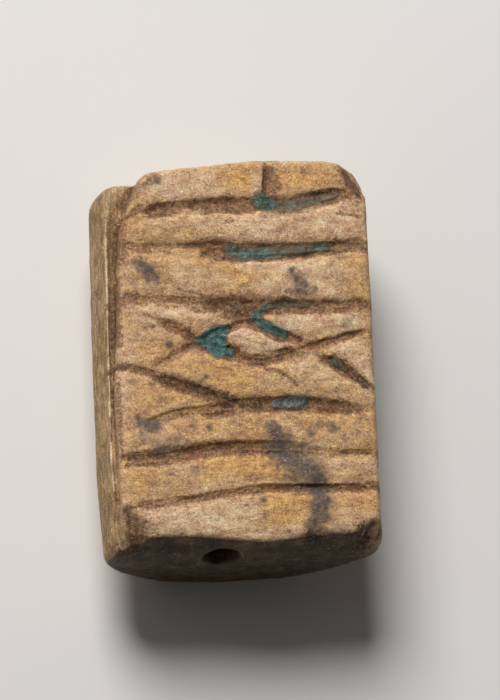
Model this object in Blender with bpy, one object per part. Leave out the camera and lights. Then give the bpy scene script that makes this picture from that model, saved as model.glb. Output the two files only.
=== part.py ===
# Plaque bead of glazed stone, engraved on its flat face, rounded on its back,
# with a string hole along its length. It lies on its back, face up.
#
# +X is the width, +Y the length and the line of the string hole, +Z out of the face.
# The origin is the middle of the strip that the bead lies on. Lengths are metres.
# The outlines, cut lines and broken corners are free-hand work that grows with the bead,
# so they are shares of its half width, half length and thickness.

from math import atan2, cos, pi, radians, sin, tan

import bmesh
import bpy
from mathutils import Vector

# Overall size
LENGTH = 0.0177
WIDTH = 0.0126
THICKNESS = 0.0060

# The slab that carries the face stands on a ledge of the body, which shows along both long
# sides. A groove runs at the slab's foot, and the ledge ends in a raised lip.
SLAB_HEIGHT = 0.00085
FACE_EDGE_ROUNDING = 0.00028
LEDGE_GROOVE_DEPTH = 0.00022
LEDGE_UNDERCUT = 0.00009
SIDE_LEAN_LEFT = 0.00038
SIDE_LEAN_RIGHT = 0.00028
END_SLOPE_HEIGHT = 0.00110

# The rounded back: how high it rises to each side, and the strip it lies on
BACK_RISE_LEFT = 0.0034
BACK_RISE_RIGHT = 0.0041
REST_STRIP_WIDTH = 0.0042
END_EDGE_ROUNDING = 0.00016

# The string hole, and the wear of its mouths
HOLE_RADIUS = 0.00072
HOLE_ACROSS = -0.00125
HOLE_HEIGHT = 0.0039
MOUTH_WEAR_LENGTH = 0.0012
MOUTH_WEAR_WIDENING = 0.00034
MOUTH_WEAR_RISE = 0.00034

# The cut lines of the face
CUT_WIDTH = 0.00060
CUT_DEPTH = 0.00034
SCRATCH_DEPTH = 0.00013
HOLLOW_DEPTH = 0.00026

# How fine the model is
OUTLINE_STEP = 0.00100
CUT_STEP = 0.00045
HOLE_SIDES = 24
ARC_STEPS = 5
FLAT_ARC_STEPS = 2
CUT_TIP_STEPS = 2
SHARP_TURN = radians(25)
NARROWEST_ANGLE = radians(0.8)

# How far a cutter stands clear of what it cuts
CUTTER_RISE = 0.00030
CUTTER_OVERRUN = 0.0010

HALF_LENGTH = LENGTH / 2
HALF_WIDTH = WIDTH / 2

# Corners of the face slab, counter-clockwise from the lower left:
# x and y as shares of the half width and half length, rounding as a share of the half width.
SLAB_CORNERS = [
    (-0.935, -0.949, 0.08),
    (-0.508, -0.942, 0.50),
    (0.078, -0.977, 0.50),
    (0.390, -0.948, 0.50),
    (0.883, -0.929, 0.09),
    (0.946, 0.393, 1.50),
    (0.971, 0.995, 0.29),
    (0.195, 1.000, 1.00),
    (-0.635, 0.938, 0.15),
    (-0.815, 0.633, 0.50),
    (-0.913, -0.197, 1.50),
]

# Corners of the body below the slab, where it is widest
BODY_CORNERS = [
    (-1.000, -0.990, 0.08),
    (0.000, -1.000, 0.80),
    (0.950, -0.985, 0.12),
    (1.000, 0.985, 0.20),
    (0.195, 1.000, 1.00),
    (-0.690, 0.898, 0.50),
    (-0.938, 0.893, 0.13),
    (-0.984, 0.050, 2.50),
    (-1.010, -0.500, 2.50),
]

# How fast the back turns down to its strip: 1 is a straight slope, 2 a quarter ellipse.
BACK_FULLNESS_LEFT = 1.7
BACK_FULLNESS_RIGHT = 1.3

# Rings of the face's rounded edge, from the face down: share of the rounding gone down,
# and share of it that the ring is set in.
FACE_EDGE_RINGS = [(0.00, 1.00), (0.16, 0.52), (0.50, 0.14), (1.00, 0.00)]

# Rings of the ledge from the slab's wall outwards: on the ends, share of the way down from
# the slab's foot to the groove's floor level; on the long sides, share of the groove's depth
# above its floor, share of the way from the slab's outline to the body's, and of the undercut.
LEDGE_RINGS = [(-0.60, 2.00, 0.00, 0.00), (-0.20, 0.70, 0.00, 1.00), (0.20, 0.05, 0.10, 0.60),
               (0.50, 0.00, 0.40, 0.00), (0.80, 0.60, 0.75, 0.00), (1.10, 1.00, 0.92, 0.00),
               (1.40, 0.85, 1.00, 0.00)]

# Rings of the body below the ledge, as shares of the ledge's height
BODY_RINGS = [0.93, 0.84, 0.75, 0.66, 0.57, 0.48, 0.39, 0.30, 0.22, 0.15, 0.09, 0.04, 0.01, 0.0]
LOWEST_RINGS_FROM = 0.06
WIDEST_AT = 0.60
LEAN_CURVE = 1.5

# The cut lines: each point is x and y as shares, and the width as a share of CUT_WIDTH.
LINE_ONE = [(-0.722, 0.685, 0.45), (-0.576, 0.737, 0.95), (-0.312, 0.758, 1.05), (0.000, 0.772, 1.20),
            (0.195, 0.769, 1.40), (0.390, 0.767, 1.15), (0.586, 0.792, 1.10), (0.771, 0.813, 0.95),
            (0.869, 0.819, 0.45)]
SHORT_UPRIGHT = [(0.268, 1.017, 0.50), (0.256, 0.919, 0.55), (0.226, 0.841, 0.62), (0.210, 0.786, 0.50)]
LINE_TWO = [(-0.800, 0.544, 0.40), (-0.635, 0.544, 0.80), (-0.351, 0.542, 0.85), (-0.195, 0.536, 1.40),
            (0.000, 0.523, 1.50), (0.244, 0.523, 1.35), (0.488, 0.532, 1.15), (0.722, 0.543, 0.90),
            (0.927, 0.552, 0.50)]
LINE_THREE = [(-0.879, 0.275, 0.50), (-0.703, 0.272, 0.80), (-0.478, 0.265, 0.90), (-0.254, 0.252, 1.15),
              (0.000, 0.246, 1.25), (0.244, 0.243, 1.10), (0.478, 0.238, 1.00), (0.722, 0.240, 0.85),
              (0.898, 0.240, 0.50)]
UPPER_WAVE = [(-0.654, 0.195, 0.45), (-0.478, 0.139, 0.85), (-0.337, 0.078, 1.10), (-0.176, 0.024, 1.25),
              (0.000, -0.020, 0.95), (0.127, -0.038, 0.85), (0.293, -0.003, 0.80), (0.478, 0.034, 0.85),
              (0.654, 0.079, 0.80), (0.800, 0.096, 0.65), (0.898, 0.101, 0.40)]
LOWER_WAVE = [(-0.654, -0.071, 0.40), (-0.508, 0.001, 0.70), (-0.327, 0.075, 1.05), (-0.176, 0.122, 1.25),
              (-0.020, 0.174, 1.20), (0.078, 0.171, 1.15), (0.195, 0.118, 1.00), (0.351, 0.069, 0.85),
              (0.498, 0.024, 0.85), (0.625, -0.042, 1.05), (0.752, -0.112, 1.00), (0.869, -0.195, 0.50)]
SLANTING_START = [(-0.976, -0.053, 0.85), (-0.790, -0.076, 0.80), (-0.602, -0.118, 0.55)]
SLANTING_LINE = [(-0.735, -0.087, 0.45), (-0.640, -0.113, 0.72), (-0.508, -0.149, 0.90),
                 (-0.351, -0.187, 0.90), (-0.225, -0.223, 0.95), (-0.098, -0.258, 0.80)]
LINE_FOUR = [(-0.703, -0.330, 0.40), (-0.576, -0.302, 0.65), (-0.351, -0.289, 0.80), (-0.195, -0.279, 1.20),
             (0.000, -0.262, 1.10), (0.244, -0.260, 1.10), (0.449, -0.262, 1.05), (0.635, -0.279, 0.95),
             (0.830, -0.293, 0.45)]
SCRATCH = [(0.176, -0.096, 0.45), (0.254, -0.116, 0.75), (0.322, -0.149, 0.75), (0.376, -0.184, 0.45)]
LINE_FIVE = [(-1.015, -0.540, 0.65), (-0.800, -0.540, 0.75), (-0.635, -0.534, 0.85), (-0.478, -0.515, 0.95),
             (-0.283, -0.492, 1.05), (-0.078, -0.481, 0.95), (0.156, -0.481, 0.90), (0.322, -0.486, 0.80),
             (0.478, -0.505, 0.60), (0.674, -0.519, 0.55), (0.849, -0.523, 0.40)]
LINE_SIX = [(-0.947, -0.792, 0.50), (-0.800, -0.772, 0.50), (-0.576, -0.752, 0.55), (-0.322, -0.723, 0.60),
            (-0.078, -0.698, 0.58), (0.127, -0.689, 0.62), (0.351, -0.696, 0.75), (0.576, -0.695, 0.65),
            (0.732, -0.697, 0.75), (0.859, -0.692, 0.40)]

# Each cut's route and depth, and whether its start runs out over an edge of the face
CUTS = {
    "line_one": (LINE_ONE, CUT_DEPTH, False),
    "short_upright": (SHORT_UPRIGHT, CUT_DEPTH, True),
    "line_two": (LINE_TWO, CUT_DEPTH, False),
    "line_three": (LINE_THREE, CUT_DEPTH, False),
    "upper_wave": (UPPER_WAVE, CUT_DEPTH, False),
    "lower_wave": (LOWER_WAVE, CUT_DEPTH, False),
    "slanting_start": (SLANTING_START, SCRATCH_DEPTH, True),
    "slanting_line": (SLANTING_LINE, CUT_DEPTH, False),
    "line_four": (LINE_FOUR, CUT_DEPTH, False),
    "scratch": (SCRATCH, SCRATCH_DEPTH, False),
    "line_five": (LINE_FIVE, CUT_DEPTH, True),
    "line_six": (LINE_SIX, CUT_DEPTH, False),
}

# Section of a cut: across as a share of its half width, down as a share of its depth.
# Above the face its sides open outwards.
CUT_SECTION = [(-0.86, 0.22), (-0.54, 0.74), (0.0, 1.0), (0.54, 0.74), (0.86, 0.22)]
CUT_FLARE = 1.35

# Where stone is missing from the face: the middle of the lost lump, x, y and z as shares of
# the half width, half length and thickness, and its three radii as shares of the thickness.
BREAKS = {
    "top_right_break": ((0.984, 0.983, 1.025), (0.225, 0.283, 0.175)),
    "lower_right_break": ((0.860, -0.985, 1.010), (0.158, 0.175, 0.185)),
    "lower_left_break": ((-0.965, -0.965, 1.020), (0.225, 0.300, 0.160)),
}

# The worn hollow between the third line and the waves
HOLLOW_MIDDLE = (0.000, 0.2065)
HOLLOW_REACH = (0.140, 0.066)

# Parts of the long sides and of the ends: how far an outline faces sideways where it counts
# as an end, and where it counts as a long side
SIDE_FROM = 0.30
SIDE_TO = 0.75

# Small shares: most of a run that a corner may round off, depth of the narrowest cut,
# width share from which a cut has its full depth, lift of a cut's tips above the face,
# place and size of the first wear in a mouth of the string hole, unevenness of a lost lump
ROUNDING_ROOM = 0.45
NARROW_CUT_DEPTH = 0.45
FULL_DEPTH_WIDTH = 1.15
TIP_LIFT = 0.10
WEAR_BEND = (0.40, 0.45)
LUMP_UNEVENNESS = 0.05


def rounded_outline(corners):
    """Points round an outline, with an arc at each corner and steps along the straight runs."""
    spots = [Vector((x * HALF_WIDTH, y * HALF_LENGTH)) for x, y, _ in corners]
    outline = []
    for index, (_, _, rounding) in enumerate(corners):
        corner = spots[index]
        before = spots[index - 1] - corner
        after = spots[(index + 1) % len(spots)] - corner
        turn = pi - before.angle(after)
        room = ROUNDING_ROOM * min(before.length, after.length)
        setback = min(rounding * HALF_WIDTH * tan(turn / 2), room)
        start = corner + before.normalized() * setback
        end = corner + after.normalized() * setback
        steps = ARC_STEPS if turn > SHARP_TURN else FLAT_ARC_STEPS
        for step in range(steps + 1):
            share = step / steps
            outline.append(start * (1 - share) ** 2 + corner * 2 * share * (1 - share) + end * share ** 2)
    stepped = []
    for index, point in enumerate(outline):
        run = outline[(index + 1) % len(outline)] - point
        pieces = max(1, round(run.length / OUTLINE_STEP))
        stepped += [point + run * (piece / pieces) for piece in range(pieces)]
    return stepped


def reach(outline, direction):
    """Distance from the middle to an outline, in one direction."""
    farthest = 0.0
    for index, start in enumerate(outline):
        edge = outline[(index + 1) % len(outline)] - start
        across = direction.cross(edge)
        if across == 0.0:
            continue
        distance = start.cross(edge) / across
        share = start.cross(direction) / across
        if distance > 0 and -1e-6 <= share <= 1 + 1e-6:
            farthest = max(farthest, distance)
    return farthest


def shared_angles(*outlines):
    """Directions in which the outlines have their points, without near doubles."""
    angles = sorted(atan2(point.y, point.x) for outline in outlines for point in outline)
    kept = [angles[0]]
    for angle in angles[1:]:
        if angle - kept[-1] > NARROWEST_ANGLE:
            kept.append(angle)
    if kept[0] + 2 * pi - kept[-1] < NARROWEST_ANGLE:
        kept.pop()
    return kept


def sideways(normal):
    """1 where an outline runs along a long side, 0 along an end, smooth between."""
    share = min(1.0, max(0.0, (abs(normal.x) - SIDE_FROM) / (SIDE_TO - SIDE_FROM)))
    return share * share * (3 - 2 * share)


def outward_normals(points):
    normals = []
    for index in range(len(points)):
        run = points[(index + 1) % len(points)] - points[index - 1]
        normals.append(Vector((run.y, -run.x)).normalized())
    return normals


def back_width(height, rise, fullness):
    """Share of the full width that the rounded back has at a height above its strip."""
    strip = REST_STRIP_WIDTH / WIDTH
    if height >= rise:
        return 1.0
    climb = (1 - (1 - height / rise) ** fullness) ** (1 / fullness)
    return strip + (1 - strip) * climb


def body_rings():
    """Rings from the face down: height on the ends and on the long sides, inset all round,
    share of the way from the slab's outline to the body's on the long sides, and undercut."""
    for down, inset in FACE_EDGE_RINGS:
        height = THICKNESS - down * FACE_EDGE_ROUNDING
        yield height, height, inset * FACE_EDGE_ROUNDING, 0.0, 0.0
    ledge = THICKNESS - SLAB_HEIGHT
    for down, rise, body_share, undercut in LEDGE_RINGS:
        end_height = ledge - down * LEDGE_GROOVE_DEPTH
        side_height = ledge - LEDGE_GROOVE_DEPTH * (1 - rise)
        yield end_height, side_height, 0.0, body_share, undercut * LEDGE_UNDERCUT
    for share in BODY_RINGS:
        roundness = max(0.0, 1 - share / LOWEST_RINGS_FROM)
        yield ledge * share, ledge * share, END_EDGE_ROUNDING * roundness ** 2, 1.0, 0.0


def closed_loop(bm, places):
    """A ring of vertices and edges through the places."""
    verts = [bm.verts.new(place) for place in places]
    return [bm.edges.new((verts[index - 1], vert)) for index, vert in enumerate(verts)]


def finished_mesh(name, bm):
    mesh = bpy.data.meshes.new(name)
    bm.to_mesh(mesh)
    bm.free()
    return mesh


def bridged_mesh(name, rings):
    """A closed mesh over the rings, with a cap on the first and the last."""
    bm = bmesh.new()
    loops = [closed_loop(bm, ring) for ring in rings]
    for first, second in zip(loops, loops[1:]):
        bmesh.ops.bridge_loops(bm, edges=first + second)
    bmesh.ops.contextual_create(bm, geom=loops[0])
    bmesh.ops.contextual_create(bm, geom=loops[-1])
    bmesh.ops.recalc_face_normals(bm, faces=bm.faces)
    return finished_mesh(name, bm)


def body_mesh():
    """The whole bead before it is drilled and engraved."""
    slab = rounded_outline(SLAB_CORNERS)
    body = rounded_outline(BODY_CORNERS)
    directions = [Vector((cos(angle), sin(angle))) for angle in shared_angles(slab, body)]
    slab_points = [direction * reach(slab, direction) for direction in directions]
    body_points = [direction * reach(body, direction) for direction in directions]
    slab_normals = outward_normals(slab_points)
    body_normals = outward_normals(body_points)
    ledge = THICKNESS - SLAB_HEIGHT

    rings = []
    for end_height, side_height, inset, side_share, undercut in body_rings():
        ring = []
        for index in range(len(directions)):
            slab_side = sideways(slab_normals[index])
            height = end_height + (side_height - end_height) * slab_side
            end_share = (THICKNESS - FACE_EDGE_ROUNDING - height) / END_SLOPE_HEIGHT
            end_share = min(1.0, max(0.0, end_share))
            body_share = end_share + (side_share - end_share) * slab_side
            place = slab_points[index].lerp(body_points[index], body_share)
            above_widest = max(0.0, (height / ledge - WIDEST_AT) / (1 - WIDEST_AT))
            lean = SIDE_LEAN_LEFT if place.x < 0 else SIDE_LEAN_RIGHT
            lean *= above_widest ** LEAN_CURVE * sideways(body_normals[index])
            place -= slab_normals[index] * (inset * (1 - body_share) + undercut * slab_side)
            place -= body_normals[index] * (inset + lean) * body_share
            left = back_width(height, BACK_RISE_LEFT, BACK_FULLNESS_LEFT)
            right = back_width(height, BACK_RISE_RIGHT, BACK_FULLNESS_RIGHT)
            place.x *= left if place.x < 0 else right
            ring.append(Vector((place.x, place.y, height)))
        rings.append(ring)
    return bridged_mesh("bead", rings)


def smooth_route(points):
    """A curve through the points of a cut, in even steps: x, y and the width share."""
    spots = [Vector((x * HALF_WIDTH, y * HALF_LENGTH, width)) for x, y, width in points]
    spots = [spots[0] * 2 - spots[1]] + spots + [spots[-1] * 2 - spots[-2]]
    route = []
    for a, b, c, d in zip(spots, spots[1:], spots[2:], spots[3:]):
        steps = max(1, round((c - b).xy.length / CUT_STEP))
        for step in range(steps):
            t = step / steps
            bend = (a * 2 - b * 5 + c * 4 - d) * t ** 2 + (b * 3 - a - c * 3 + d) * t ** 3
            route.append((b * 2 + (c - a) * t + bend) / 2)
    route.append(spots[-2])
    return route


def cut_mesh(name, points, full_depth, open_start):
    """A boat-shaped cutter that stands above the face and dips into it along the cut."""
    route = smooth_route(points)
    last = len(route) - 1
    rings = []
    for index, spot in enumerate(route):
        run = (route[min(index + 1, last)] - route[max(index - 1, 0)]).xy
        across = Vector((-run.y, run.x)).normalized()
        half_width = CUT_WIDTH * spot.z / 2
        from_start = 1.0 if open_start else min(1.0, index / CUT_TIP_STEPS)
        dip = min(from_start, (last - index) / CUT_TIP_STEPS, 1.0)
        width_share = min(spot.z, FULL_DEPTH_WIDTH)
        depth = full_depth * (NARROW_CUT_DEPTH + (1 - NARROW_CUT_DEPTH) * width_share) * dip
        depth -= TIP_LIFT * CUTTER_RISE * (1 - dip)
        section = [(-CUT_FLARE, CUTTER_RISE)]
        section += [(share, -depth * down) for share, down in CUT_SECTION]
        section.append((CUT_FLARE, CUTTER_RISE))
        ring = []
        for share, height in section:
            place = spot.xy + across * half_width * share
            ring.append(Vector((place.x, place.y, THICKNESS + height)))
        rings.append(ring)
    return bridged_mesh(name, rings)


def hole_mesh():
    """The string hole, with both mouths worn wider and up towards the face."""
    wear_start = HALF_LENGTH - MOUTH_WEAR_LENGTH
    bend, bend_wear = WEAR_BEND
    half = [(wear_start, 0.0), (HALF_LENGTH - MOUTH_WEAR_LENGTH * bend, bend_wear),
            (HALF_LENGTH, 1.0), (HALF_LENGTH + CUTTER_OVERRUN, 1.0)]
    stations = [(-along, wear) for along, wear in reversed(half)] + half
    rings = []
    for along, wear in stations:
        ring = []
        for side in range(HOLE_SIDES):
            angle = 2 * pi * side / HOLE_SIDES
            x = HOLE_ACROSS + (HOLE_RADIUS + MOUTH_WEAR_WIDENING * wear / 2) * cos(angle)
            z = HOLE_HEIGHT + MOUTH_WEAR_RISE * wear
            z += (HOLE_RADIUS + MOUTH_WEAR_WIDENING * wear) * sin(angle)
            ring.append(Vector((x, along, z)))
        rings.append(ring)
    return bridged_mesh("string_hole", rings)


def lump_mesh(name, centre, radii):
    """A rounded lump with a slightly uneven surface, as stone breaks or wears away."""
    bm = bmesh.new()
    bmesh.ops.create_icosphere(bm, subdivisions=2, radius=1.0)
    for vert in bm.verts:
        uneven = 1 + LUMP_UNEVENNESS * sin(7 * vert.co.x + 3) * sin(6 * vert.co.y + 1)
        vert.co = centre + vert.co * uneven * Vector(radii)
    return finished_mesh(name, bm)


def break_mesh(name, centre, radii):
    middle = Vector((centre[0] * HALF_WIDTH, centre[1] * HALF_LENGTH, centre[2] * THICKNESS))
    return lump_mesh(name, middle, [radius * THICKNESS for radius in radii])


def hollow_mesh(name):
    """A lump that dips into the face by the depth of the worn hollow."""
    radii = (HOLLOW_REACH[0] * HALF_WIDTH, HOLLOW_REACH[1] * HALF_LENGTH, HOLLOW_DEPTH * 2)
    middle = Vector((HOLLOW_MIDDLE[0] * HALF_WIDTH, HOLLOW_MIDDLE[1] * HALF_LENGTH, THICKNESS + HOLLOW_DEPTH))
    return lump_mesh(name, middle, radii)


def add_object(name, mesh):
    thing = bpy.data.objects.new(name, mesh)
    bpy.context.scene.collection.objects.link(thing)
    return thing


def cut_away(target, name, mesh):
    cutter = add_object(name, mesh)
    cutter.hide_render = True
    cutter.display_type = "WIRE"
    modifier = target.modifiers.new(name, "BOOLEAN")
    modifier.operation = "DIFFERENCE"
    modifier.solver = "EXACT"
    modifier.object = cutter


def fired_stone():
    material = bpy.data.materials.new("fired_stone")
    material.use_nodes = True
    shader = material.node_tree.nodes["Principled BSDF"]
    shader.inputs["Base Color"].default_value = (0.52, 0.35, 0.19, 1.0)
    shader.inputs["Roughness"].default_value = 0.72
    shader.inputs["Metallic"].default_value = 0.0
    return material


def main():
    for thing in list(bpy.data.objects):
        bpy.data.objects.remove(thing, do_unlink=True)

    bead = add_object("bead", body_mesh())
    bead.data.materials.append(fired_stone())
    cut_away(bead, "string_hole", hole_mesh())
    for name, (points, depth, open_start) in CUTS.items():
        cut_away(bead, name, cut_mesh(name, points, depth, open_start))
    cut_away(bead, "worn_hollow", hollow_mesh("worn_hollow"))
    for name, (centre, radii) in BREAKS.items():
        cut_away(bead, name, break_mesh(name, centre, radii))


main()
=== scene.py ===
from math import cos, radians, sin
from types import SimpleNamespace

import bmesh
import bpy
import numpy as np
from mathutils import Matrix, Vector, noise
from mathutils.bvhtree import BVHTree


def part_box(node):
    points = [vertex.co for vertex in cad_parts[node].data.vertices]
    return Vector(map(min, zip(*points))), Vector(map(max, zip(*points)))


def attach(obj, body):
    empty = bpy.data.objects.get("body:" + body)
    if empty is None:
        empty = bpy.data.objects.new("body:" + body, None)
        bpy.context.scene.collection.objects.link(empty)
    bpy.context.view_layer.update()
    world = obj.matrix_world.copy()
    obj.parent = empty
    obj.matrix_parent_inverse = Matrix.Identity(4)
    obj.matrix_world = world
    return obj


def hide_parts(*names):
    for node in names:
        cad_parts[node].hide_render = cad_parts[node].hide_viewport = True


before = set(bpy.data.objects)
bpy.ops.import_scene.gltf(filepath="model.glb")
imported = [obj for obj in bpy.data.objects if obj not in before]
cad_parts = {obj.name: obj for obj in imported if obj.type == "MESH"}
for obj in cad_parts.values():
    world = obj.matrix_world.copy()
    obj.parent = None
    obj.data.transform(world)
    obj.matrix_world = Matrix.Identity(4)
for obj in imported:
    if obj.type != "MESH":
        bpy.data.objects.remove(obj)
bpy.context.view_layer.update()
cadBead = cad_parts["bead"]
cadLow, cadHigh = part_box("bead")

modelledLength = 17.7  # millimetres, the length that the places below are for
mm = (cadHigh[1] - cadLow[1]) / modelledLength
faceLevel = cadHigh[2] / mm
halfWidth = (cadHigh[0] - cadLow[0]) / mm / 2
halfLength = modelledLength / 2
lampSide = (-0.38, 1.0)  # the side that the face is lit from, across and along
print("frame loaded, face at", round(faceLevel, 3), "mm")

# Soft steps, soft noise and routes over the face

noiseApart = np.array([3.7, 1.9, 5.3])  # from the noise of one seed to the next


def softStep(values, start, end):
    share = np.clip((values - start) / (end - start), 0, 1)
    return share * share * (3 - 2 * share)


def noiseAt(places, size, seed):  # soft noise from -1 to 1, its lumps of that size
    spots = places / np.array(size) + seed * noiseApart
    return np.array([noise.noise(spot) for spot in spots.tolist()])


def routeReach(places, route):  # 1 on a route's middle line, 0 at its half width, less beyond
    best = np.full(len(places), -np.inf)
    for start, end in zip(route, route[1:] or route):
        startPoint, endPoint = np.array(start[:2]), np.array(end[:2])
        run = endPoint - startPoint
        along = np.clip((places[:, :2] - startPoint) @ run / max(run @ run, 1e-9), 0, 1)
        nearest = startPoint + along[:, None] * run
        width = start[2] + along * (end[2] - start[2])
        best = np.maximum(best, 1 - np.hypot(*(places[:, :2] - nearest).T) / width)
    return best


def paintedAreas(places, areas, ragged, softness):  # strongest of the areas at each place
    strongest = np.zeros(len(places))
    for route, strength in areas:
        inside = softStep(routeReach(places, route) + ragged, -softness, softness)
        strongest = np.maximum(strongest, inside * strength)
    return strongest


# A map of the carving, looked down on through a grid over the face

faceMap = {
    "step": 0.06,
    "margin": 0.6,  # how far the grid reaches past the bead
    "openAir": 9.0,  # depth where there is no bead
    "edge": 0.62,  # deeper than this is past the edge of the face
    "edgeBlend": 0.06,
    "faceShares": (0.2, 0.9),  # where the face's paint starts on its map
    "rimShares": (0.8, 0.99),  # and its worn cuts, on the blurred map
    "rimBlur": 0.12,
    "cutBlur": 0.06,
    "wallBlur": 0.15,
}


def lookDown(tree):
    margin, step = faceMap["margin"], faceMap["step"]
    across = np.arange(-halfWidth - margin, halfWidth + margin, step)
    along = np.arange(-halfLength - margin, halfLength + margin, step)
    depths = np.full((len(across), len(along)), faceMap["openAir"])
    for column, x in enumerate(across):
        for row, y in enumerate(along):
            hit = tree.ray_cast((x, y, faceLevel + 1), (0, 0, -1))[0]
            if hit:
                depths[column, row] = faceLevel - hit.z
    return depths


def blurredMap(heights, reach):  # three running means each way
    cells = round(reach / faceMap["step"])
    for axis in (0, 1, 0, 1, 0, 1):
        ends = [(cells + 1, cells) if side == axis else (0, 0) for side in (0, 1)]
        total = np.moveaxis(np.pad(heights, ends, mode="edge").cumsum(axis), axis, 0)
        span = 2 * cells + 1
        heights = np.moveaxis((total[span:] - total[:-span]) / span, 0, axis)
    return heights


def readMap(values, x, y):  # the map between its four nearest cells
    lastCell = np.array(values.shape) - 1.001  # just short of it, so that it has a neighbour
    column = np.clip((x + halfWidth + faceMap["margin"]) / faceMap["step"], 0, lastCell[0])
    row = np.clip((y + halfLength + faceMap["margin"]) / faceMap["step"], 0, lastCell[1])
    left, lower = column.astype(int), row.astype(int)
    right, upper = column - left, row - lower
    lowerValue = values[left, lower] * (1 - right) + values[left + 1, lower] * right
    upperValue = values[left, lower + 1] * (1 - right) + values[left + 1, lower + 1] * right
    return lowerValue * (1 - upper) + upperValue * upper


# The stone: copied from the solid and remade as an even mesh, finest on the face and the ledges

stone = {
    "mergeWithin": 0.0005,
    "voxel": 0.066,
    "softenRounds": 2,
    "softenShare": 0.5,
    "trianglesAtMost": 192000,
    "fineDownTo": 1.1,
    "thinLowFirst": 1.5,
    "ledgeDepth": (1.35, 1.15),  # where the groove and the ridge lie below the face
    "smoothRounds": 14,  # how the stone would be without its small forms
    "softestRounds": 50,  # and without its edges
    "facing": (0.0, 0.4),  # upwards or to the left, to count as its top
    "pits": 150,
    "pitRadius": (0.04, 0.12),
    "pitDepth": (0.02, 0.06),
    "pitSeed": 11,
    "raggedNoise": (0.22, 21),  # size and seed of the soft noises
    "unevenNoise": (0.5, 3),
    "broadNoise": ((1.3, 0.7, 1.0), 22),
}


def added(name, data):
    thing = bpy.data.objects.new(name, data)
    bpy.context.scene.collection.objects.link(thing)
    return thing


def applied(thing):
    graph = bpy.context.evaluated_depsgraph_get()
    mesh = bpy.data.meshes.new_from_object(thing.evaluated_get(graph))
    thing.modifiers.clear()
    thing.data = mesh


def copyInMillimetres(node):
    mesh = node.data.copy()
    mesh.materials.clear()
    bm = bmesh.new()
    bm.from_mesh(mesh)
    bmesh.ops.remove_doubles(bm, verts=bm.verts, dist=mm * stone["mergeWithin"])
    bmesh.ops.scale(bm, vec=(1 / mm,) * 3, verts=bm.verts)
    tree = BVHTree.FromBMesh(bm)
    bm.to_mesh(mesh)
    bm.free()
    return added("beadStone", mesh), tree


def remade(thing):
    voxels = thing.modifiers.new("evenMesh", "REMESH")
    voxels.mode = "VOXEL"
    voxels.voxel_size = stone["voxel"]
    applied(thing)
    bm = bmesh.new()
    bm.from_mesh(thing.data)
    everyWay = {"use_axis_x": True, "use_axis_y": True, "use_axis_z": True}
    for turn in range(stone["softenRounds"]):
        bmesh.ops.smooth_vert(bm, verts=bm.verts, factor=stone["softenShare"], **everyWay)
    bm.to_mesh(thing.data)
    bm.free()


def thinned(thing):  # fewer triangles, taken from below the ledges first
    triangles = sum(len(face.vertices) - 2 for face in thing.data.polygons)
    heights = readVectors(thing.data, "co")[:, 2]
    lowVertices = np.flatnonzero(heights < faceLevel - stone["fineDownTo"])
    thing.vertex_groups.new(name="coarse").add(lowVertices.tolist(), 1.0, "REPLACE")
    fewer = thing.modifiers.new("fewerTriangles", "DECIMATE")
    fewer.ratio = min(1.0, stone["trianglesAtMost"] / triangles)
    fewer.vertex_group = "coarse"
    fewer.vertex_group_factor = stone["thinLowFirst"]
    applied(thing)
    thing.vertex_groups.clear()
    print("stone has", len(thing.data.polygons), "faces, thinned from", triangles, "triangles")


def readVectors(mesh, name):
    values = np.empty(len(mesh.vertices) * 3)
    mesh.vertices.foreach_get(name, values)
    return values.reshape(-1, 3)


def averaged(mesh, values, rounds):  # each vertex takes its neighbours' mean, time after time
    pairs = np.empty(len(mesh.edges) * 2, dtype=int)
    mesh.edges.foreach_get("vertices", pairs)
    first, second = pairs.reshape(-1, 2).T
    count = np.bincount(pairs, minlength=len(values))
    for turn in range(rounds):
        columns = []
        for column in values.T:
            total = np.bincount(first, column[second], len(values))
            total += np.bincount(second, column[first], len(values))
            columns.append(total / count)
        values = np.array(columns).T
    return values


def pitDepths(places):  # small pits at scattered points of the surface
    chance = np.random.default_rng(stone["pitSeed"])
    depth = np.zeros(len(places))
    for index in chance.choice(len(places), stone["pits"], replace=False):
        radius = chance.uniform(*stone["pitRadius"])
        away = np.linalg.norm(places - places[index], axis=1) / radius
        depth = np.maximum(depth, chance.uniform(*stone["pitDepth"]) * np.clip(1 - away**2, 0, 1))
    return depth


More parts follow.
